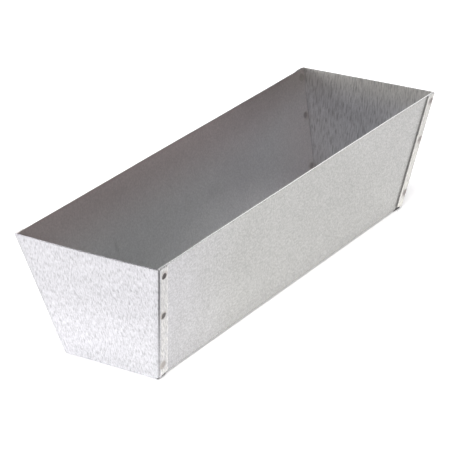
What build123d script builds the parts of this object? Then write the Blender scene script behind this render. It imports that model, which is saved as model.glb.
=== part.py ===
from build123d import *
from math import atan, cos, sin, tan
import os

# Mud pan: a long, narrow, open trough of galvanised sheet steel, for mixing mortar or joint compound in
# and taking it up with a trowel or knife.
#
# It is made of three pieces of sheet. One is folded into the trough, which has a narrow flat bottom and
# two long walls that lean out. A folded end plate closes each end. Its two side flanges lie on the
# outside of the long walls, its bottom flange lies under the trough, and three spot welds hold each
# flange. The pan stands on the two bottom flanges.
#
# Millimetres. X runs along the pan, Y across it and Z up. The origin is on the ground, under its middle.

# Driving dimensions
SHEET = 1.0                 # thickness of all three sheets
RIM_LENGTH = 305.0          # over the end plates, at the rim: a 12 inch pan
BASE_LENGTH = 274.3         # over the end plates, at the trough's underside
RIM_WIDTH = 100.8           # over the trough's walls, at the rim
BASE_WIDTH = 66.8           # over the trough's walls, at its underside
DEPTH = 78.6                # from the trough's underside to the rim

TROUGH_BEND = 0.5           # inside radius of the trough's two long bends
END_BEND = 0.5              # inside radius of the end plates' bends
SEAM = 0.5                  # gap between the trough's sheared ends and the end plates
FLANGE = 8.3                # reach of a flange, from the end plate's outer face
FLANGE_FOOT = 0.3           # how far above the trough's underside a side flange starts, at its bend
FLANGE_RISE = 2.2           # how much higher it starts at its free edge
EDGE = 0.15                 # rounding of the sheared edges that a hand meets

# A spot weld is a slug that was melted through both sheets, dished on each face by an electrode
WELD_RADIUS = 2.25
OUTER_DISH = 0.25
INNER_DISH = 0.12

# The side flanges' welds: height above the ground, and distance in from the end plate's outer face.
# They were placed by hand, so no two flanges are quite alike.
SIDE_WELDS = {
    "left_front": [(74.2, 5.4), (46.3, 4.3), (9.9, 3.9)],
    "left_back": [(74.0, 4.5), (47.5, 4.4), (12.0, 4.6)],
    "right_front": [(74.8, 4.1), (48.7, 3.9), (12.4, 4.0)],
    "right_back": [(74.0, 4.6), (49.2, 4.3), (16.1, 4.2)],
}
# The bottom flanges' welds: distance along the flange, and in from the end plate's outer face
BOTTOM_WELDS = {
    "left": [(-22.0, 5.0), (0.5, 4.8), (21.5, 5.1)],
    "right": [(-21.5, 4.9), (-0.5, 5.2), (22.5, 4.9)],
}

# Worked out from the driving dimensions
UNDERSIDE = SHEET                                   # the trough's underside is above the bottom flanges
RIM = UNDERSIDE + DEPTH
WALL_LEAN = atan((RIM_WIDTH - BASE_WIDTH) / 2 / DEPTH)
END_LEAN = atan((RIM_LENGTH - BASE_LENGTH) / 2 / DEPTH)
ENDS = {"left": -1, "right": 1}                     # by the sign of X
SIDES = {"front": -1, "back": 1}                    # by the sign of Y
BEYOND = 20.0                                       # how far the solids that cut reach past the pan
HUGE = 4 * RIM_LENGTH


def wall_y(z, outward=0.0):
    """Half the width over the walls at height z, with their outer planes moved outward."""
    return BASE_WIDTH / 2 + (z - UNDERSIDE) * tan(WALL_LEAN) + outward / cos(WALL_LEAN)


def end_x(z, outward=0.0):
    """Half the length over the end plates at height z, with their outer planes moved outward."""
    return BASE_LENGTH / 2 + (z - UNDERSIDE) * tan(END_LEAN) + outward / cos(END_LEAN)


def between_ends(outward):
    """All that lies between the end plates' outer planes, once they are moved outward."""
    low, high = -BEYOND, RIM + BEYOND
    outline = Polyline((-end_x(low, outward), low), (end_x(low, outward), low),
                       (end_x(high, outward), high), (-end_x(high, outward), high), close=True)
    return extrude(Plane.XZ * make_face(outline), RIM_WIDTH, both=True)


def between_walls(outward):
    """All that lies between the walls' outer planes, once they are moved outward."""
    low, high = -BEYOND, RIM + BEYOND
    outline = Polyline((-wall_y(low, outward), low), (wall_y(low, outward), low),
                       (wall_y(high, outward), high), (-wall_y(high, outward), high), close=True)
    return extrude(Plane.YZ * make_face(outline), RIM_LENGTH, both=True)


def below(point, normal):
    """All that lies behind the plane through a point, seen from where its normal points."""
    return Plane(origin=point, z_dir=normal) * Pos(0, 0, -HUGE / 2) * Box(HUGE, HUGE, HUGE)


def under_side_rim(side):
    """All that lies under one long wall's rim, which is sheared square to the wall."""
    return below((0, side * wall_y(RIM, -SHEET), RIM), (0, side * sin(WALL_LEAN), cos(WALL_LEAN)))


def under_end_rim(end):
    """All that lies under one end plate's rim, which is sheared square to the plate."""
    return below((end * end_x(RIM, -SHEET), 0, RIM), (end * sin(END_LEAN), 0, cos(END_LEAN)))


def weld_slug():
    """A spot weld at the origin, through both sheets, with Z out of the pan."""
    slug = Cylinder(WELD_RADIUS, 2 * SHEET)
    for face, dish in ((1, OUTER_DISH), (-1, INNER_DISH)):
        ball = (WELD_RADIUS ** 2 + dish ** 2) / (2 * dish)
        slug -= Pos(0, 0, face * (SHEET - dish + ball)) * Sphere(ball)
    return slug


def side_weld_plane(end, side, height, inset):
    """Where a side flange meets the wall at a weld's centre, with Z out of the pan."""
    return Plane(origin=(end * (end_x(height) - inset), side * wall_y(height), height),
                 x_dir=(1, 0, 0), z_dir=(0, side * cos(WALL_LEAN), -sin(WALL_LEAN)))


def bottom_weld_plane(end, along, inset):
    """Where a bottom flange meets the trough's underside at a weld's centre, with Z out of the pan."""
    return Plane(origin=(end * (end_x(0) - inset), along, UNDERSIDE), x_dir=(1, 0, 0), z_dir=(0, 0, -1))


def weld_planes():
    """The planes of each flange's welds, by the name of the flange."""
    planes = {}
    for end_name, end in ENDS.items():
        for side_name, side in SIDES.items():
            name = f"{end_name}_{side_name}"
            planes[name] = [side_weld_plane(end, side, *place) for place in SIDE_WELDS[name]]
        planes[f"{end_name}_bottom"] = [bottom_weld_plane(end, *place) for place in BOTTOM_WELDS[end_name]]
    return planes


def pierced(sheet, planes):
    """A sheet with a hole for each spot weld."""
    for plane in planes:
        sheet -= plane * Cylinder(WELD_RADIUS, 4 * SHEET)
    return sheet


def make_trough():
    """The folded trough: a flat bottom, two long bends and two leaning walls."""
    high = RIM + BEYOND
    outside = FilletPolyline((-wall_y(high), high), (-wall_y(UNDERSIDE), UNDERSIDE),
                             (wall_y(UNDERSIDE), UNDERSIDE), (wall_y(high), high),
                             radius=TROUGH_BEND + SHEET)
    section = make_face(offset(outside, amount=SHEET, side=Side.LEFT, closed=True))
    trough = extrude(Plane.YZ * section, RIM_LENGTH, both=True) & between_ends(-SHEET - SEAM)
    for side in SIDES.values():
        trough &= under_side_rim(side)
    rims = [e for e in trough.edges() if e.center().Z > RIM - SHEET and e.length > BASE_LENGTH]
    return fillet(rims, EDGE)


def bent_corners(end, outward_end, outward_wall, radius):
    """All that lies inside two walls and an end plane, with the two corners where they meet rounded."""
    block = between_ends(outward_end) & between_walls(outward_wall)
    corners = [e for e in block.edges() if end * e.center().X > BASE_LENGTH / 4 and e.length > DEPTH
               and abs(e.tangent_at(0.5).Z) > 0.9]
    return fillet(corners, radius)


def make_side_flanges(end):
    """The part of an end plate that folds round both corners of the trough, side flanges included."""
    outer = bent_corners(end, 0, SHEET, END_BEND + SHEET)
    inner = bent_corners(end, -SHEET, 0, END_BEND)
    folded = (outer - inner - between_ends(-FLANGE)) & below((0, 0, 0), (-end, 0, 0))
    # The flanges' lower ends climb a little from the bend to the free edge.
    start = UNDERSIDE + FLANGE_FOOT
    folded -= below((end * end_x(start), 0, start), (end * FLANGE_RISE, 0, FLANGE))
    return folded


def is_sheared(edge):
    """Whether an end plate's edge is along its rim or a flange's free edge."""
    middle = edge.center()
    from_free_edge = abs(middle.X) - end_x(middle.Z, -FLANGE)
    return middle.Z > RIM - SHEET or abs(from_free_edge) < SHEET / 4


def make_end_plate(end):
    """A folded end plate: its leaning face, a bottom flange and two side flanges."""
    high = RIM + BEYOND
    outside = FilletPolyline((end_x(high), high), (end_x(0), 0), (end_x(0, -FLANGE), 0),
                             radius=END_BEND + SHEET)
    section = make_face(offset(outside, amount=SHEET, side=Side.RIGHT, closed=True))
    plate = extrude(Plane.XZ * section, RIM_WIDTH, both=True)
    if end < 0:
        plate = mirror(plate, Plane.YZ)
    plate &= between_walls(-END_BEND)
    plate += make_side_flanges(end)
    plate &= under_end_rim(end)
    for side in SIDES.values():
        plate &= under_side_rim(side)
    return fillet([e for e in plate.edges() if is_sheared(e)], EDGE)


os.makedirs("parts", exist_ok=True)
welds = weld_planes()
every_weld = [plane for planes in welds.values() for plane in planes]
export_step(pierced(make_trough(), every_weld), "parts/trough.step")

for end_name, end in ENDS.items():
    own_welds = [plane for name, planes in welds.items() if name.startswith(end_name) for plane in planes]
    export_step(pierced(make_end_plate(end), own_welds), f"parts/{end_name}_end_plate.step")

for name, planes in welds.items():
    group = Compound(children=[plane * weld_slug() for plane in planes])
    export_step(group, f"parts/{name}_flange_welds.step")
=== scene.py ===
from math import atan2, cos, exp, pi, radians, sin

import bmesh
import bpy
from mathutils import Matrix, Vector, noise


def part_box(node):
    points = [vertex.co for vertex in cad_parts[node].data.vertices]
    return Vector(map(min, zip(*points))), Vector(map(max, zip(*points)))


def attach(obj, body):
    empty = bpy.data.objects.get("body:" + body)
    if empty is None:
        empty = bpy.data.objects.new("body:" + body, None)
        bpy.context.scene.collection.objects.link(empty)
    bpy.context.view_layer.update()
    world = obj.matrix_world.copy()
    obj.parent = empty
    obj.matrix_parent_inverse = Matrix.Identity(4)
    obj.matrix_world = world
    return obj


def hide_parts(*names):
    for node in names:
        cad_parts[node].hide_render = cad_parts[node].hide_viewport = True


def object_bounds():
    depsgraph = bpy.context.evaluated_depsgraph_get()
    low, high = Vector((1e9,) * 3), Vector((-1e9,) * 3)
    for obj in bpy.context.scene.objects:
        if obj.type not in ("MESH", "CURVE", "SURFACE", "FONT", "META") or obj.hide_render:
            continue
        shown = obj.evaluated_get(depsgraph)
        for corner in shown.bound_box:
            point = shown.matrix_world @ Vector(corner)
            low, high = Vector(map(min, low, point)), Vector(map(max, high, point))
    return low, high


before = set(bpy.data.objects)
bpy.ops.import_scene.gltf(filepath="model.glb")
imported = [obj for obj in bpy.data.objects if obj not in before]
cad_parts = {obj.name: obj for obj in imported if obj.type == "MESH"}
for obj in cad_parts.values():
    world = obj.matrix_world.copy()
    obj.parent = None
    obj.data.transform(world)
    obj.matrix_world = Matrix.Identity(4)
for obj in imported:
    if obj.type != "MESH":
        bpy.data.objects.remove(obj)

# The pan stands on Z = 0 with its length along X and its left end at -X. Sizes are in metres.
MM = 0.001
cad_low, cad_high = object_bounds()

# The sheets' thickness is the step from the end plates' bottom flanges up to the trough.
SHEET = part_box("trough")[0].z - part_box("left_end_plate")[0].z
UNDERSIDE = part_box("trough")[0].z
RIM = cad_high.z
TROUGH_MIDDLE = Vector((0, 0, (UNDERSIDE + RIM) / 2))
# The sheets, and the slot that each one's material goes in
SHEET_NODES = {
    "trough": "trough_sheet",
    "left_end_plate": "end_plate_sheet",
    "right_end_plate": "end_plate_sheet",
}
WELD_NODES = [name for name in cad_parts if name.endswith("_flange_welds")]

# Camera: a long lens, above the pan and to the left of its front
CAMERA_AZIMUTH = radians(-54.30)
CAMERA_ELEVATION = radians(24.34)
CAMERA_ROLL = radians(-3.00)
CAMERA_DISTANCE = 1331 * MM
CAMERA_ASIDE = -9.8 * MM
CAMERA_UP = -5.0 * MM
LENS = 172.96
SENSOR = 36.0

# Softboxes, all aimed at the pan from the same distance: azimuth and elevation in degrees, watts and
# colour. Azimuth 0 is in front of the pan and 90 to its right.
SOFTBOX_DISTANCE = 1.3
SOFTBOX_SIZE = 0.7
SOFTBOXES = {
    "high_front_left": (315, 65, 15.5, (1.02, 1.00, 0.99)),
    "back": (180, 42, 6.0, (0.99, 0.95, 1.06)),
    "left": (270, 42, 1.4, (0.88, 0.95, 1.17)),
    "low_back_left": (210, 18, 5.8, (1.02, 1.00, 0.98)),
    "low_back_right": (150, 18, 2.3, (1.02, 1.00, 0.98)),
    "right": (100, 36, 2.2, (1.00, 1.00, 1.00)),
}
WORLD_GLOW = 0.01
WHITE = (1.0, 1.0, 1.0, 1)
FLOOR_REACH = 4.0
FLOOR_COLOUR = (0.9, 0.9, 0.9, 1)
FLOOR_ROUGHNESS = 0.8
FLOOR_GLOW = 0.42

# Mesh detail of the sheets
GRID = 4 * MM                   # spacing of the cuts that let a flat face be dented
FINE_CUTS = (1.2 * MM, 2.4 * MM)        # more cuts, this far from the rim and the trough's underside
MERGE = 0.002 * MM
FLAT = radians(0.3)
SHARP = radians(50)             # the angle from which an edge is shaded as a sharp one
CUT_TOLERANCE = 0.0005 * MM
INNER_BEND = 0.5 * MM           # inside radius of the end plates' folds
FLANGE = 8.3 * MM               # reach of a flange from the end plate's outer face
FLANGE_EDGE = 8 * MM            # how far back the faces of its sheared edge start
RIM_EDGE = 0.4 * MM             # how far below the rim the faces of a sheared edge reach

# How far the real sheets are from flat
WALL_WAVE = 0.35 * MM
END_WAVE = 0.22 * MM
END_BOW = {-1: 0.6 * MM, 1: 0.1 * MM}       # how far the left and right ends' rims bow out
BOTTOM_WAVE = 0.30 * MM
WALL_BOW = {-1: -0.75 * MM, 1: 0.20 * MM}   # how far the front and back rims bow out: the front's is bent in
BOW_MIDDLE = -35 * MM
BOW_LENGTH = 85 * MM
END_BOW_FOOT = 0.3              # the share of the pan's height at which the ends start to bow
TIGHTENED = 0.35 * MM           # the trough's ends are sprung tight against the end plates
FLANGE_LIFT = 0.12 * MM         # the flanges' free edges stand off the walls between welds
WELD_HOLD = 6 * MM              # how far a weld holds a flange down
TOUCHING = 0.1 * MM             # what is less than this behind a wall's outer face is a side flange's

# A wave is a big one and a small one, whose length is a share of the big one's
BIG_WAVE = 1.6
SMALL_WAVE = 0.5
SMALL_WAVE_LENGTH = 0.45
# The lengths of the waves in the sheets, and what makes each sheet's waves its own
WAVE_LENGTH = {"wall": 75 * MM, "bottom": 60 * MM, "end": 48 * MM}
WAVE_SEED = {"wall": 3, "bottom": 11, "end": 7}

# Over what distance a sheet goes from held stiff to free
WALL_FROM_END = (9 * MM, 60 * MM)
WALL_FROM_BEND = (4 * MM, 34 * MM)
BOTTOM_FROM_WALL = (3 * MM, 18 * MM)
END_FROM_WALL = (2 * MM, 22 * MM)
END_FROM_GROUND = (3 * MM, 25 * MM)
FLANGE_FROM_END = (2.5 * MM, 8.5 * MM)

# The grain of the sheets
INNER_GRAIN = 0.5               # how fast it runs along an inner face, beside an outer one
NARROWEST = 10 * MM             # the least half width that the end plates' folds spread it over
BLEND = 0.5 * MM                # how far from a bottom fold it turns from the face's to the flange's


def clamp(value):
    return max(0.0, min(1.0, value))


def smooth(value, start, end):
    """0 up to start, 1 from end, and a smooth rise between."""
    t = clamp((value - start) / (end - start))
    return t * t * (3 - 2 * t)


# ---- Where the pan's faces and welds are, read from the frame ----

DOWNWARD = 0.2                  # about how far the outer faces of the walls and end plates look down
# The cosines from which a face looks a given way, looks straight one way, and looks aside
ALIKE = 0.95
STRAIGHT = 0.9
ASIDE = 0.8


def largest_face(node, towards):
    """A point on a CAD node's largest face that looks a given way, and the face's outward normal."""
    towards = Vector(towards).normalized()
    faces = [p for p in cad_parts[node].data.polygons if p.normal.dot(towards) > ALIKE]
    face = max(faces, key=lambda p: p.area)
    return face.center.copy(), face.normal.copy()


END_FACES = {
    -1: largest_face("left_end_plate", (-1, 0, -DOWNWARD)),
    1: largest_face("right_end_plate", (1, 0, -DOWNWARD)),
}
WALL_FACES = {side: largest_face("trough", (0, side, -DOWNWARD)) for side in (-1, 1)}


def behind(plane, place):
    """How far a place is behind a plane, seen from outside the pan."""
    point, normal = plane
    return (point - place).dot(normal)


def behind_end(place):
    """How far a place is behind the nearer end plate's outer face."""
    return min(behind(END_FACES[-1], place), behind(END_FACES[1], place))


def behind_wall(place):
    """How far a place is behind the nearer long wall's outer face."""
    return min(behind(WALL_FACES[-1], place), behind(WALL_FACES[1], place))


def islands(mesh):
    """The vertices of each separate solid in a mesh."""
    work = bmesh.new()
    work.from_mesh(mesh)
    bmesh.ops.remove_doubles(work, verts=work.verts, dist=MERGE)
    seen = set()
    found = []
    for start in work.verts:
        if start in seen:
            continue
        seen.add(start)
        heap = [start]
        island = []
        while heap:
            vertex = heap.pop()
            island.append(vertex.co.copy())
            for edge in vertex.link_edges:
                other = edge.other_vert(vertex)
                if other not in seen:
                    seen.add(other)
                    heap.append(other)
        found.append(island)
    work.free()
    return found


def weld_places(node):
    """The centre of each weld in a group, where its two sheets meet, and the way out of the pan."""
    places = []
    for points in islands(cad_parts[node].data):
        low = Vector(map(min, *points))
        high = Vector(map(max, *points))
        centre = (low + high) / 2
        if "bottom" in node:
            places.append((centre, Vector((0, 0, -1))))
        else:
            places.append((centre, WALL_FACES[1 if centre.y > 0 else -1][1]))
    return places


WELDS = {node: weld_places(node) for node in WELD_NODES}
WELD_CENTRES = {"trough": [centre for node in WELD_NODES for centre, _ in WELDS[node]]}
for end_name in ("left", "right"):
    groups = [node for node in WELD_NODES if node.startswith(end_name)]
    WELD_CENTRES[f"{end_name}_end_plate"] = [centre for node in groups for centre, _ in WELDS[node]]


# ---- Camera, floor and light ----

def direction(azimuth, elevation):
    """The unit vector towards an azimuth and elevation, as the camera and the softboxes use them."""
    return Vector((sin(azimuth) * cos(elevation), -cos(azimuth) * cos(elevation), sin(elevation)))


def add(name, data):
    """A new object in the scene."""
    made = bpy.data.objects.new(name, data)
    bpy.context.scene.collection.objects.link(made)
    return made


def make_camera():
    """The camera, aimed just past the pan's middle."""
    back = direction(CAMERA_AZIMUTH, CAMERA_ELEVATION)
    level = Vector((cos(CAMERA_AZIMUTH), sin(CAMERA_AZIMUTH), 0))
    upright = back.cross(level)
    right = level * cos(CAMERA_ROLL) + upright * sin(CAMERA_ROLL)
    up = upright * cos(CAMERA_ROLL) - level * sin(CAMERA_ROLL)
    data = bpy.data.cameras.new("camera")
    data.lens = LENS
    data.sensor_width = SENSOR
    data.clip_start = 0.05
    data.clip_end = 20
    camera = add("camera", data)
    place = TROUGH_MIDDLE + back * CAMERA_DISTANCE + right * CAMERA_ASIDE + up * CAMERA_UP
    camera.matrix_world = Matrix.Translation(place) @ Matrix((right, up, back)).transposed().to_4x4()
    bpy.context.scene.camera = camera


def make_floor():
    """A plain white floor that glows, as a light table does."""
    reach = FLOOR_REACH
    corners = [(-reach, -reach, 0), (reach, -reach, 0), (reach, reach, 0), (-reach, reach, 0)]
    mesh = bpy.data.meshes.new("floor")
    mesh.from_pydata(corners, [], [(0, 1, 2, 3)])
    floor = add("floor", mesh)
    material = bpy.data.materials.new("white_floor")
    material.use_nodes = True
    shader = material.node_tree.nodes["Principled BSDF"]
    shader.inputs["Base Color"].default_value = FLOOR_COLOUR
    shader.inputs["Roughness"].default_value = FLOOR_ROUGHNESS
    shader.inputs["Emission Color"].default_value = WHITE
    shader.inputs["Emission Strength"].default_value = FLOOR_GLOW
    mesh.materials.append(material)


def make_lights():
    """The softboxes, and a faint even glow from all round."""
    for name, (azimuth, elevation, watts, colour) in SOFTBOXES.items():
        data = bpy.data.lights.new(name, "AREA")
        data.size = SOFTBOX_SIZE
        data.energy = watts
        data.color = colour
        light = add(name, data)
        towards = direction(radians(azimuth), radians(elevation))
        light.location = towards * SOFTBOX_DISTANCE
        light.rotation_mode = "QUATERNION"
        light.rotation_quaternion = towards.to_track_quat("Z", "Y")
        light.visible_camera = False
    world = bpy.data.worlds.new("studio")
    world.use_nodes = True
    world.node_tree.nodes["Background"].inputs["Color"].default_value = WHITE
    world.node_tree.nodes["Background"].inputs["Strength"].default_value = WORLD_GLOW
    bpy.context.scene.world = world
    bpy.context.scene.view_settings.view_transform = "Standard"


# ---- The sheets ----

def wave(place, length, seed):
    """Smooth ups and downs from about -1 to 1, with a given length of wave."""
    big = noise.noise(place / length + Vector((seed, 0, 0)))
    small = noise.noise(place / (length * SMALL_WAVE_LENGTH) + Vector((0, seed, 0)))
    return BIG_WAVE * big + SMALL_WAVE * small


def dent_of_walls(place):
    """How the long walls and the bottom of the trough are out of flat at a place, as a move."""
    held = smooth(behind_end(place), *WALL_FROM_END)
    side = 1 if place.y > 0 else -1
    height = smooth(place.z - UNDERSIDE, *WALL_FROM_BEND)
    flat_place = Vector((place.x, side, place.z))
    bowed = exp(-((place.x - BOW_MIDDLE) / BOW_LENGTH) ** 2) * smooth(place.z, UNDERSIDE, RIM)
    waved = wave(flat_place, WAVE_LENGTH["wall"], WAVE_SEED["wall"] * side)
    out = WALL_WAVE * waved + WALL_BOW[side] * bowed
    inward = smooth(behind_wall(place), *BOTTOM_FROM_WALL)
    up = BOTTOM_WAVE * wave(Vector((place.x, place.y, 0)), WAVE_LENGTH["bottom"], WAVE_SEED["bottom"])
    return WALL_FACES[side][1] * (out * held * height) + Vector((0, 0, up * held * inward))


def dent_of_end(place, end):
    """How an end plate's face is out of flat at a place, as a move."""
    inward = smooth(behind_wall(place), *END_FROM_WALL)
    height = smooth(place.z, *END_FROM_GROUND)
    bowed = (1 - (place.y / cad_high.y) ** 2) * smooth(place.z, END_BOW_FOOT * RIM, RIM)
    waved = wave(Vector((0, place.y, place.z)), WAVE_LENGTH["end"], WAVE_SEED["end"] * end)
    out = END_WAVE * waved + END_BOW[end] * bowed
    return END_FACES[end][1] * (out * inward * height)


def lift_of_flange(place, end, centres):
    """How a side flange stands off the trough at a place, as a move. A bottom flange lies flat."""
    reach = smooth(behind(END_FACES[end], place), *FLANGE_FROM_END)
    held = max(exp(-((place - centre).length / WELD_HOLD) ** 2) for centre in centres)
    if behind_wall(place) < TOUCHING:
        side = 1 if place.y > 0 else -1
        return WALL_FACES[side][1] * (FLANGE_LIFT * reach * (1 - held))
    return Vector((0, 0, 0))


def dented(place, node):
    """Where a point of a sheet is once the sheet is as uneven as a real one."""
    if node == "trough":
        end = 1 if place.x > 0 else -1
        tightened = TIGHTENED if behind_end(place) < 2 * SHEET else 0
        return place + dent_of_walls(place) + Vector((end * tightened, 0, 0))
    end = -1 if node.startswith("left") else 1
    return place + dent_of_end(place, end) + lift_of_flange(place, end, WELD_CENTRES[node])


def is_inside(place, node):
    """Whether a point is on a sheet's inner face."""
    if node == "trough":
        return min(behind_wall(place), place.z - UNDERSIDE) > SHEET / 2
    return behind_end(place) > SHEET / 2 and behind_wall(place) > 0 and place.z > UNDERSIDE + SHEET / 2


def developed(place, node):
    """Where a point was on the flat sheet before it was folded: across and along its grain, which is drawn
    out longer on the inner faces, and whether it is on one."""
    inside = is_inside(place, node)
    drawn = INNER_GRAIN if inside else 1.0
    if node == "trough":
        return Vector((place.x, (place.z * (1 if place.y > 0 else -1) + place.y) * drawn, inside))
    back = behind_end(place)
    half_width = max(abs(place.y) + behind_wall(place), NARROWEST)
    below = smooth(UNDERSIDE + SHEET - place.z, -BLEND, BLEND)
    across = place.y * (1 + back / half_width * (1 - below))
    return Vector((across, (place.z - back * below) * drawn, inside))


def fold_place(place, node):
    """How far round the nearest fold a point is from the fold's middle: the end plates' side folds run
    from minus on the face to plus on the flange, and the trough's long bends count up both ways."""
    wall = behind_wall(place)
    if node == "trough":
        return max(wall, place.z - UNDERSIDE)
    back = behind_end(place)
    centre_back = SHEET + INNER_BEND
    centre_wall = INNER_BEND
    past_face = centre_back - back
    past_wall = centre_wall - wall
    radius = INNER_BEND + SHEET
    if past_face > 0 and past_wall > 0:
        return radius * (atan2(past_wall, past_face) - pi / 4)
    if past_wall > 0:
        return radius * pi / 4 - past_face
    return past_wall - radius * pi / 4


def edge_gap(place, node):
    """How far a point is from the nearest sheared edge."""
    if node == "trough":
        return RIM - place.z
    return min(RIM - place.z, abs(FLANGE - behind_end(place)))


def grid_cuts():
    """Planes that cut the sheets into a fine grid."""
    cuts = []
    for axis, reach, start in ((0, cad_high.x, -cad_high.x), (1, cad_high.y, -cad_high.y), (2, RIM, 0)):
        normal = Vector((0, 0, 0))
        normal[axis] = 1
        count = int((reach - start) / GRID)
        for step in range(1, count + 1):
            place = Vector((0, 0, 0))
            place[axis] = start + (reach - start) * step / (count + 1)
            cuts.append((place, normal))
    for gap in FINE_CUTS:
        cuts.append((Vector((0, 0, RIM - gap)), Vector((0, 0, 1))))
        cuts.append((Vector((0, 0, gap + SHEET)), Vector((0, 0, 1))))
    return cuts


def is_sheared(polygon, node):
    """Whether a face of a sheet is on one of its sheared edges: at the rim, a side flange's free edge or the
    end of a bottom flange."""
    place = polygon.center
    if polygon.normal.z > STRAIGHT and RIM - place.z < RIM_EDGE:
        return True
    if node == "trough":
        return False
    looks_in = polygon.normal.dot(END_FACES[1 if place.x > 0 else -1][1]) < -STRAIGHT
    if looks_in and behind_end(place) > FLANGE_EDGE:
        return True
    return abs(polygon.normal.y) > ASIDE and place.z < UNDERSIDE


def gridded(node):
    """A sheet's CAD mesh, cut into a fine grid."""
    work = bmesh.new()
    work.from_mesh(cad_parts[node].data)
    bmesh.ops.remove_doubles(work, verts=work.verts, dist=MERGE)
    bmesh.ops.dissolve_limit(work, angle_limit=FLAT, verts=work.verts, edges=work.edges)
    for place, normal in grid_cuts():
        parts = work.verts[:] + work.edges[:] + work.faces[:]
        bmesh.ops.bisect_plane(work, geom=parts, dist=CUT_TOLERANCE, plane_co=place, plane_no=normal)
    bmesh.ops.triangulate(work, faces=[f for f in work.faces if len(f.verts) > 4])
    mesh = bpy.data.meshes.new(node)
    work.to_mesh(mesh)
    work.free()
    return mesh


def make_sheet(node):
    """A sheet of the pan: the CAD sheet cut into a fine grid and dented, with what its finish needs."""
    mesh = gridded(node)
    grain = mesh.attributes.new("grain", "FLOAT_VECTOR", "POINT")
    gaps = mesh.attributes.new("gaps_mm", "FLOAT_VECTOR", "POINT")
    sheared = mesh.attributes.new("sheared", "FLOAT", "FACE")
    for polygon in mesh.polygons:
        sheared.data[polygon.index].value = 1.0 if is_sheared(polygon, node) else 0.0
    for vertex in mesh.vertices:
        place = vertex.co.copy()
        grain.data[vertex.index].vector = developed(place, node)
        flange = behind_end(place) if node != "trough" else 0
        gaps.data[vertex.index].vector = Vector((fold_place(place, node), edge_gap(place, node), flange)) / MM
        vertex.co = dented(place, node)

    mesh.polygons.foreach_set("use_smooth", [True] * len(mesh.polygons))
    mesh.set_sharp_from_angle(angle=SHARP)
    piece = add(f"{node}_sheet", mesh)
    weighted = piece.modifiers.new("weighted_normals", "WEIGHTED_NORMAL")
    weighted.keep_sharp = True
    mesh.materials.append(MATERIALS[node])
    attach(piece, "root")
    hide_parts(node)
    return piece


# ---- Spot welds ----

WELD_RADIUS = 2.25 * MM
WELD_TURN = 40                  # points round a weld
WELD_NOISE = 900                # spreads the welds over the noise, so that each is uneven in its own way
OUT_OF_ROUND = 0.10             # how far a weld's radius varies
RIDGE_VARIES = 0.9              # how far its ridge's height does
WELD_LEAN = 0.10 * MM           # how far its dish leans
INNER_DEPTH = 0.5               # how deep a weld's inner face is dished, beside its outer one
INNER_HEAT = 0.45               # how dark its inner face is, beside its outer one
# Half of a weld's outline from the middle of its face outward: share of its radius, and height over the
# sheet in millimetres. An electrode has dished the middle and pushed up a low ridge round it.
WELD_OUTLINE = [(0.0, -0.22), (0.3, -0.21), (0.55, -0.17), (0.75, -0.10), (0.88, -0.03), (0.97, 0.02),
                (1.05, 0.035), (1.13, 0.02), (1.20, -0.01), (1.23, -0.05)]
# How much each weld of a flange was darkened by its heat, from the highest or frontmost one on
WELD_HEAT = {
    "left_front_flange_welds": (1.0, 0.85, 0.18),
    "left_back_flange_welds": (0.8, 0.6, 0.7),
    "left_bottom_flange_welds": (0.7, 0.9, 0.6),
    "right_front_flange_welds": (0.50, 0.45, 0.40),
    "right_back_flange_welds": (0.05, 0.9, 0.8),
    "right_bottom_flange_welds": (0.6, 0.8, 0.9),
}


def make_welds(node):
    """A flange's three spot welds: each is dished on both faces, ridged and a little out of round."""
    vertices = []
    faces = []
    marks = []
    places = sorted(WELDS[node], key=lambda weld: (-weld[0].z, weld[0].y))
    for (centre, out), heat in zip(places, WELD_HEAT[node]):
        seed = centre * WELD_NOISE
        across = out.orthogonal().normalized()
        other = out.cross(across)
        tilt = across * noise.noise(seed) + other * noise.noise(seed + Vector((5, 0, 0)))
        rows = []
        outer = [(1, share, height) for share, height in WELD_OUTLINE]
        inner = [(-1, share, height * INNER_DEPTH) for share, height in reversed(WELD_OUTLINE)]
        for face, share, height in outer + inner:
            row = []
            for step in range(WELD_TURN):
                angle = 2 * pi * step / WELD_TURN
                spoke = across * cos(angle) + other * sin(angle)
                wobble = 1 + OUT_OF_ROUND * noise.noise(seed + spoke * 1.3 + Vector((0, 0, face)))
                ridge = 1 + RIDGE_VARIES * noise.noise(seed + spoke * 1.7 + Vector((0, 5, face)))
                lift = height * MM * (ridge if height > 0 else 1)
                lean = WELD_LEAN * tilt.dot(spoke) * share if share < 1 else 0
                if "bottom" in node and face > 0:
                    lift = min(lift, 0)
                    lean = min(lean, 0)
                reach = WELD_RADIUS * share * wobble
                darkness = heat if face > 0 else heat * INNER_HEAT
                row.append(len(vertices))
                vertices.append(centre + spoke * reach + out * face * (SHEET + lift + lean))
                # The third value sets where the weld's colour gets its painted shade: the low side of the
                # tilted dish
                marks.append((share, darkness, tilt.normalized().dot(spoke) * share))
            rows.append(row)
        for upper, lower in zip(rows, rows[1:]):
            for step in range(WELD_TURN):
                following = (step + 1) % WELD_TURN
                faces.append((upper[step], lower[step], lower[following], upper[following]))
    mesh = bpy.data.meshes.new(node)
    mesh.from_pydata(vertices, [], faces)
    work = bmesh.new()
    work.from_mesh(mesh)
    layer = work.verts.layers.float_vector.new("mark")
    for vertex, mark in zip(work.verts, marks):
        vertex[layer] = mark
    bmesh.ops.remove_doubles(work, verts=work.verts, dist=MERGE)
    bmesh.ops.recalc_face_normals(work, faces=work.faces)
    work.to_mesh(mesh)
    work.free()
    mesh.polygons.foreach_set("use_smooth", [True] * len(mesh.polygons))
    mesh.set_sharp_from_angle(angle=SHARP)
    piece = add(f"{node}_marks", mesh)
    mesh.materials.append(MATERIALS["weld"])
    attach(piece, "root")
    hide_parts(node)
    return piece


# ---- Materials ----

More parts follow.
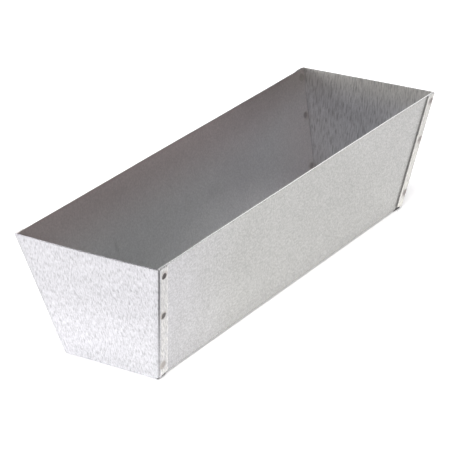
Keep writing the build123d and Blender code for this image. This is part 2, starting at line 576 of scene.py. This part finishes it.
ZINC = 0.60                     # how much light the zinc gives back
# Each sheet's finish: its material's name, the tone of its outside at the pan's left end and further right,
# and how strong its rolled streaks and its sandy grain are
# The trough's outside tone further right is darker, a painted shade; the end plates' only turns yellowish.
FINISHES = {
    "trough": ("zinc_trough", (0.855, 0.85, 0.87, 1), (0.752, 0.752, 0.733, 1), 0.012, 0.16),
    "left_end_plate": ("zinc_left_end", (0.875, 0.875, 0.90, 1), (0.875, 0.87, 0.885, 1), 0.23, 0.07),
    "right_end_plate": ("zinc_right_end", (0.90, 0.90, 0.925, 1), (0.90, 0.895, 0.88, 1), 0.23, 0.07),
}

# The tones inside: the trough's in its middle, and at its ends and high up, and the end plates' low down and
# at the rim, where they are paler and brighter, a painted light near the opening
TROUGH_GREY = (1.015, 1.03, 1.025, 1)
TROUGH_BROWN = (0.99, 0.91, 0.90, 1)
END_GREY = (0.97, 0.98, 1.01, 1)
END_PALE_LIT = (1.08, 1.075, 1.03, 1)

# The tones of what is whole, worn by scuffs, bare or hot, of the near-black line along the side folds, and of
# painted shade in the trough's corners and on the lowest sheared edges
WHOLE = (1, 1, 1, 1)
UNSCUFFED = (1.0, 0.995, 0.99, 1)
SCUFFED = (1.26, 1.245, 1.17, 1)
FOLD_LINE_DARK = (0.05, 0.04, 0.04, 1)
BARE = (1.0, 1.0, 0.99)
HEATED = (0.62, 0.57, 0.54)
CORNER_SHADE = (0.03, 0.03, 0.03, 1)
LOW_EDGE_SHADE = (0.02, 0.02, 0.02, 1)
WELD_GREY = (0.50, 0.47, 0.45, 1)
WELD_BLACK = (0.09, 0.082, 0.08, 1)

# The scales of the noises, per metre: across and along the grain, or the same every way
STREAKS = (1350, 320, 1)
FINE_STREAKS = (2800, 400, 1)
SCUFFS = (900, 120, 1)
SPECKLE = (850, 850, 850)
CLOUDS = 16
PATCHES = 70
MOTTLE = 900

CLOUD_DRIFT = 60 * MM           # how far the clouds shift the outside's change from cool to warm
INSIDE_POLISH = 0.55            # how much of the sandy grain a trowel has worn off inside
# How much brighter the outside is painted towards the ground, and how much brighter again in its last few
# millimetres: a painted reflection of the bright floor
GROUND_SHEEN = {"trough_sheet": 1.10, "end_plate_sheet": 1.20}
GROUND_SHEEN_FOOT = 1.12
# The bends along the ground and the faces below them are darker: a painted shade under the pan
FOOT_SHADE = {"trough_sheet": 0.56, "end_plate_sheet": 0.80}     # how bright the bends along the ground are
# The sheared edges are bare steel; the trough's rim is made brighter than that, a painted highlight
EDGE_TONE_AND_RIM_SHEEN = {"trough_sheet": 1.13, "end_plate_sheet": 0.86}     # how bright the sheared edges are
CORNER = (127.5 * MM, 129.5 * MM)       # from where to where, along the pan, painted shade sets in at its corners
# Smudges on the trough, and first a patch that is scraped brighter: place, reach each way, and how dark
SMUDGES = [
    ((30 * MM, 36 * MM, 14 * MM), (80 * MM, 16 * MM, 24 * MM), -0.13),
    ((-73 * MM, 40 * MM, 41 * MM), (2.2 * MM, 12 * MM, 7 * MM), 0.13),
    ((30 * MM, 41 * MM, 38 * MM), (14 * MM, 12 * MM, 5 * MM), 0.05),
    ((52 * MM, -43 * MM, 40 * MM), (9 * MM, 12 * MM, 4 * MM), 0.04),
]


class Graph:
    """Short ways to build a material's nodes."""

    def __init__(self, name):
        self.material = bpy.data.materials.new(name)
        self.material.use_nodes = True
        self.tree = self.material.node_tree
        self.shader = self.tree.nodes["Principled BSDF"]

    def node(self, kind, values, **settings):
        """A node with its settings. A value is a number, a colour or another node's socket."""
        made = self.tree.nodes.new(kind)
        for name, value in settings.items():
            setattr(made, name, value)
        for key, value in values.items():
            if isinstance(value, bpy.types.NodeSocket):
                self.tree.links.new(value, made.inputs[key])
            else:
                made.inputs[key].default_value = value
        return made

    def attribute(self, name, output):
        return self.node("ShaderNodeAttribute", {}, attribute_name=name).outputs[output]

    def parts(self, vector):
        return self.node("ShaderNodeSeparateXYZ", {0: vector}).outputs

    def place(self):
        """Where a point is in the pan's own frame."""
        return self.node("ShaderNodeTexCoord", {}).outputs["Object"]

    def stretched(self, vector, scale):
        return self.node("ShaderNodeVectorMath", {0: vector, 1: scale}, operation="MULTIPLY").outputs[0]

    def noise(self, vector, scale, detail=2.0, rough=0.5, warp=0.0):
        """Noise from 0 to 1, about 0.5."""
        values = {"Vector": vector, "Scale": scale, "Detail": detail, "Roughness": rough, "Distortion": warp}
        return self.node("ShaderNodeTexNoise", values).outputs["Fac"]

    def math(self, operation, first, second=0.0, third=0.0):
        return self.node("ShaderNodeMath", {0: first, 1: second, 2: third}, operation=operation).outputs[0]

    def mapped(self, value, low, high, to_low, to_high):
        """A value's range mapped to another, smoothly and within its ends."""
        values = {0: value, 1: low, 2: high, 3: to_low, 4: to_high}
        return self.node("ShaderNodeMapRange", values, interpolation_type="SMOOTHSTEP").outputs[0]

    def varied(self, noise_value, low, high):
        """The usual range of a noise mapped to another."""
        return self.mapped(noise_value, 0.3, 0.7, low, high)

    def mixed(self, share, first, second):
        """Two numbers mixed."""
        return self.node("ShaderNodeMix", {0: share, 2: first, 3: second}, data_type="FLOAT").outputs[0]

    def mix(self, share, first, second, blend="MIX"):
        made = self.node("ShaderNodeMix", {0: share, 6: first, 7: second}, data_type="RGBA", blend_type=blend)
        return made.outputs[2]

    def scaled(self, colour, factor):
        """A colour made lighter or darker by a factor."""
        return self.node("ShaderNodeVectorMath", {0: colour, "Scale": factor}, operation="SCALE").outputs[0]

    def bump(self, height_mm):
        """A bumped normal, from a height in millimetres."""
        values = {"Height": height_mm, "Distance": MM, "Strength": 1.0}
        return self.node("ShaderNodeBump", values).outputs["Normal"]

    def metal(self, colour, rough, bumps_mm):
        """The material, as a metal of a colour and roughness with fine bumps."""
        self.tree.links.new(colour, self.shader.inputs["Base Color"])
        self.tree.links.new(rough, self.shader.inputs["Roughness"])
        self.tree.links.new(self.bump(bumps_mm), self.shader.inputs["Normal"])
        self.shader.inputs["Metallic"].default_value = 1.0
        return self.material


def nearest_weld(graph, place, centres):
    """The distance in millimetres to the nearest of some welds."""
    nearest = None
    for centre in centres:
        gap = graph.node("ShaderNodeVectorMath", {0: place, 1: centre}, operation="DISTANCE").outputs["Value"]
        nearest = gap if nearest is None else graph.math("MINIMUM", nearest, gap)
    return graph.math("MULTIPLY", nearest, 1 / MM)


def outer_tone(graph, clouds, along, left_tone, right_tone):
    """The zinc's tone outside, which drifts from its left tone to its right one along the pan, from bluish to
    yellowish; on the trough it also turns darker, a painted shade.
    """
    drift = graph.math("MULTIPLY_ADD", clouds, CLOUD_DRIFT, along)
    return graph.mix(graph.mapped(drift, -0.72 * cad_high.x, -0.20 * cad_high.x, 0, 1), left_tone, right_tone)


def inner_tone(graph, node, along, height):
    """The zinc's tone inside: browner at the trough's ends and high up, and paler and brighter at every rim,
    a painted light near the opening.
    """
    if node != "trough":
        return graph.mix(graph.mapped(height, 0.72 * RIM, RIM, 0, 1), END_GREY, END_PALE_LIT)
    at_left = graph.mapped(along, -0.95 * cad_high.x, -0.50 * cad_high.x, 1, 0)
    at_right = graph.mapped(along, 0.55 * cad_high.x, 0.90 * cad_high.x, 0, 0.6)
    high_up = graph.mapped(height, 0.5 * RIM, RIM, 0, 1)
    brown = graph.math("MAXIMUM", graph.math("MAXIMUM", at_left, at_right), high_up)
    tone = graph.mix(brown, TROUGH_GREY, TROUGH_BROWN)
    # Painted light: brighter towards the rim
    return graph.scaled(tone, graph.mapped(height, 0.85 * RIM, RIM, 1, 1.12))


def painted_light_at_ground(graph, node, colour, height, inside):
    """A sheet's colour outside with painted light at the ground: brighter towards it, a painted reflection of
    the bright floor, and darker in the bends along it and on the faces below them, a painted shade under the
    pan."""
    slot = SHEET_NODES[node]
    # Painted reflection of the bright floor: brighter towards the ground
    ground_sheen = graph.mapped(height, 0, 0.7 * RIM, GROUND_SHEEN[slot], 1)
    ground_sheen = graph.math("MULTIPLY", ground_sheen, graph.mapped(height, 0, 4 * MM, GROUND_SHEEN_FOOT, 1))
    colour = graph.scaled(colour, graph.mixed(inside, ground_sheen, 1.0))
    # Painted shade under the pan: darker in the bends along the ground and below them
    bend_foot = UNDERSIDE if node == "trough" else 0
    foot = graph.mapped(height, bend_foot + 0.2 * MM, bend_foot + 1.1 * MM, FOOT_SHADE[slot], 1)
    return graph.scaled(colour, graph.mixed(inside, foot, 1.0))


def dull_folds(graph, node, fold):
    """How dull the zinc is, from 0 to 1, by its distance from the middle of a fold in millimetres."""
    if node == "trough":
        return graph.mapped(graph.math("ABSOLUTE", fold), 1.0, 3.0, 1, 0)
    from_fold = graph.math("ABSOLUTE", graph.math("SUBTRACT", fold, 0.2))
    return graph.mapped(from_fold, 0.15, 0.80, 1, 0)


def marked_trough(graph, colour, place, streaks, outside):
    """The trough's colour with painted shade outside at the corners of its bottom, below the flanges, and
    with its smudges.
    """
    along, _, height = graph.parts(place)
    # Painted shade: near black in the gap at each bottom corner, below the foot of a side flange
    painted_shade = graph.mapped(graph.math("ABSOLUTE", along), *CORNER, 0, 1)
    painted_shade = graph.math("MULTIPLY", painted_shade, graph.mapped(height, 2.0 * MM, 3.6 * MM, 0.85, 0))
    painted_shade = graph.math("MULTIPLY", painted_shade, outside)
    colour = graph.mix(painted_shade, colour, CORNER_SHADE)
    for centre, reach, depth in SMUDGES:
        offset = graph.node("ShaderNodeVectorMath", {0: place, 1: centre}, operation="SUBTRACT").outputs[0]
        scaled = graph.stretched(offset, [1 / size for size in reach])
        gap = graph.node("ShaderNodeVectorMath", {0: scaled}, operation="LENGTH").outputs["Value"]
        gap = graph.math("ADD", gap, graph.varied(streaks, -0.2, 0.2))
        colour = graph.scaled(colour, graph.mapped(gap, 0.2, 1.2, 1 - depth, 1))
    return colour


def flanges_with_scuffs_and_sheen(graph, colour, grain, gaps, outside):
    """An end plate's colour with scuffs on its flanges and a painted highlight along their sheared edges. The
    gaps are in millimetres."""
    _, edge, flange = gaps
    scuffs = graph.noise(graph.stretched(grain, SCUFFS), 1, detail=4, rough=0.7, warp=0.3)
    scuffs_and_edge_sheen = graph.mix(graph.varied(scuffs, 0, 1), UNSCUFFED, SCUFFED)
    # Painted highlight: brighter within about a millimetre of a sheared edge
    scuffs_and_edge_sheen = graph.scaled(scuffs_and_edge_sheen, graph.mapped(edge, 0.3, 1.4, 1.15, 1.0))
    on_flange = graph.math("MULTIPLY", graph.mapped(flange, 1.5, 2.5, 0, 1), outside)
    return graph.mix(on_flange, colour, graph.mix(1.0, colour, scuffs_and_edge_sheen, "MULTIPLY"))


def darkened_folds(graph, colour, fold, dull, height):
    """An end plate's colour with painted shade towards its side folds, and with a near-black line along them.
    """
    # Painted shade: up to 8 % darker from 5 mm before each side fold onwards, fading out towards the ground
    shade = graph.mapped(fold, -5.0, -0.3, 0, 1)
    shade = graph.math("MULTIPLY", shade, graph.mapped(height, 0, 0.15 * RIM, 0, 0.08))
    colour = graph.scaled(colour, graph.math("SUBTRACT", 1.0, shade))
    # The near-black line along each side fold, darkest high up
    worst = graph.mapped(height, 0.1 * RIM, 0.8 * RIM, 0.35, 0.78)
    fold_line = graph.mix(graph.math("MULTIPLY", dull, worst), WHOLE, FOLD_LINE_DARK)
    return graph.mix(1.0, colour, fold_line, "MULTIPLY")


def bare_edges_with_painted_light(graph, node, colour, streaks, height):
    """A sheet's colour with bare steel on its sheared edges, made brighter on the trough's rim as a painted
    highlight, and with painted shade on the lowest edges.
    """
    sheared = graph.attribute("sheared", "Fac")
    # Bare steel, made brighter on the trough's rim: a painted highlight
    tone = ZINC * EDGE_TONE_AND_RIM_SHEEN[SHEET_NODES[node]]
    bare = graph.scaled(BARE, graph.varied(streaks, 0.92 * tone, 1.08 * tone))
    colour = graph.mix(sheared, colour, bare)
    # Painted shade: the lowest sheared edges, at the ends of the bottom flanges, turn near black
    painted_shade = graph.math("MULTIPLY", sheared, graph.mapped(height, 2.2 * MM, 3.2 * MM, 0.95, 0))
    return graph.mix(painted_shade, colour, LOW_EDGE_SHADE)


def zinc_roughness(graph, clouds, streaks, dull):
    """Galvanised sheet's roughness: more at its folds, and less on its sheared edges."""
    rough = graph.mapped(clouds, 0.35, 0.65, 0.40, 0.45)
    rough = graph.math("ADD", rough, graph.mapped(streaks, 0.25, 0.75, -0.04, 0.04))
    rough = graph.math("ADD", rough, graph.mapped(dull, 0, 1, 0, 0.12))
    return graph.math("MULTIPLY_ADD", graph.attribute("sheared", "Fac"), -0.18, rough)


def zinc(node, name, left_tone, right_tone, streak, sand):
    """Galvanised sheet: clouded zinc with a rolled grain, dull at its folds and bare at its sheared edges,
    with painted light and shade at the ground, in the corners, on the edges and rims, at the folds, and
    further right on the trough.
    """
    graph = Graph(name)
    place = graph.place()
    along, _, height = graph.parts(place)
    grain = graph.attribute("grain", "Vector")
    inside = graph.parts(grain)[2]
    outside = graph.math("SUBTRACT", 1.0, inside)
    gaps = graph.parts(graph.attribute("gaps_mm", "Vector"))

    clouds = graph.noise(place, CLOUDS, detail=3, rough=0.55)
    patches = graph.noise(place, PATCHES, detail=3, rough=0.6)
    streaks = graph.noise(graph.stretched(grain, STREAKS), 1, detail=3, rough=0.6, warp=0.5)
    fine = graph.noise(graph.stretched(grain, FINE_STREAKS), 1, detail=2, rough=0.6)
    speckle = graph.noise(graph.stretched(place, SPECKLE), 1, detail=2, rough=0.6)
    worn = graph.math("MULTIPLY_ADD", inside, -INSIDE_POLISH, 1.0)
    speckle = graph.math("MULTIPLY_ADD", graph.math("SUBTRACT", speckle, 0.5), worn, 0.5)

    outer = outer_tone(graph, clouds, along, left_tone, right_tone)
    colour = graph.mix(inside, outer, inner_tone(graph, node, along, height))
    colour = graph.scaled(colour, ZINC)
    colour = graph.scaled(colour, graph.varied(patches, 0.985, 1.015))
    colour = graph.scaled(colour, graph.mapped(streaks, 0.27, 0.60, 1 - 1.5 * streak, 1 + 0.5 * streak))
    colour = graph.scaled(colour, graph.varied(speckle, 1 - sand, 1 + sand))
    colour = painted_light_at_ground(graph, node, colour, height, inside)

    dull = dull_folds(graph, node, gaps[0])
    if node == "trough":
        colour = marked_trough(graph, colour, place, streaks, outside)
    else:
        colour = flanges_with_scuffs_and_sheen(graph, colour, grain, gaps, outside)
        colour = darkened_folds(graph, colour, gaps[0], dull, height)
    to_weld = nearest_weld(graph, place, WELD_CENTRES[node])
    to_weld = graph.math("ADD", to_weld, graph.varied(patches, -0.5, 0.5))
    colour = graph.mix(graph.mapped(to_weld, 2.3, 4.4, 0.25, 0), colour, graph.scaled(HEATED, ZINC))
    colour = bare_edges_with_painted_light(graph, node, colour, streaks, height)

    bumps = graph.math("MULTIPLY", streaks, 0.25 * streak)
    bumps = graph.math("MULTIPLY_ADD", fine, 0.06 * streak, bumps)
    bumps = graph.math("MULTIPLY_ADD", speckle, 0.16 * sand, bumps)
    return graph.metal(colour, zinc_roughness(graph, clouds, streaks, dull), bumps)


def weld_metal():
    """Heat-darkened zinc and steel, with painted shade on the low side of each weld's tilted dish."""
    graph = Graph("weld_metal")
    share, heat, side = graph.parts(graph.attribute("mark", "Vector"))
    mottle = graph.noise(graph.place(), MOTTLE, detail=4, rough=0.7)
    ragged = graph.math("ADD", share, graph.varied(mottle, -0.12, 0.12))
    # Painted shade: darker on the low side of the tilted dish
    ragged = graph.math("MULTIPLY_ADD", side, 0.45, ragged)
    dark = graph.mapped(ragged, 0.55, 1.15, 1, 0)
    colour = graph.mix(graph.math("MULTIPLY", dark, heat), WELD_GREY, WELD_BLACK)
    colour = graph.scaled(colour, graph.varied(mottle, 0.88, 1.12))
    return graph.metal(colour, graph.varied(mottle, 0.42, 0.60), graph.math("MULTIPLY", mottle, 0.05))


MATERIALS = {node: zinc(node, *finish) for node, finish in FINISHES.items()}
MATERIALS["weld"] = weld_metal()


# ---- The scene ----

make_camera()
make_floor()
make_lights()
for sheet_node in SHEET_NODES:
    make_sheet(sheet_node)
for weld_node in WELD_NODES:
    make_welds(weld_node)
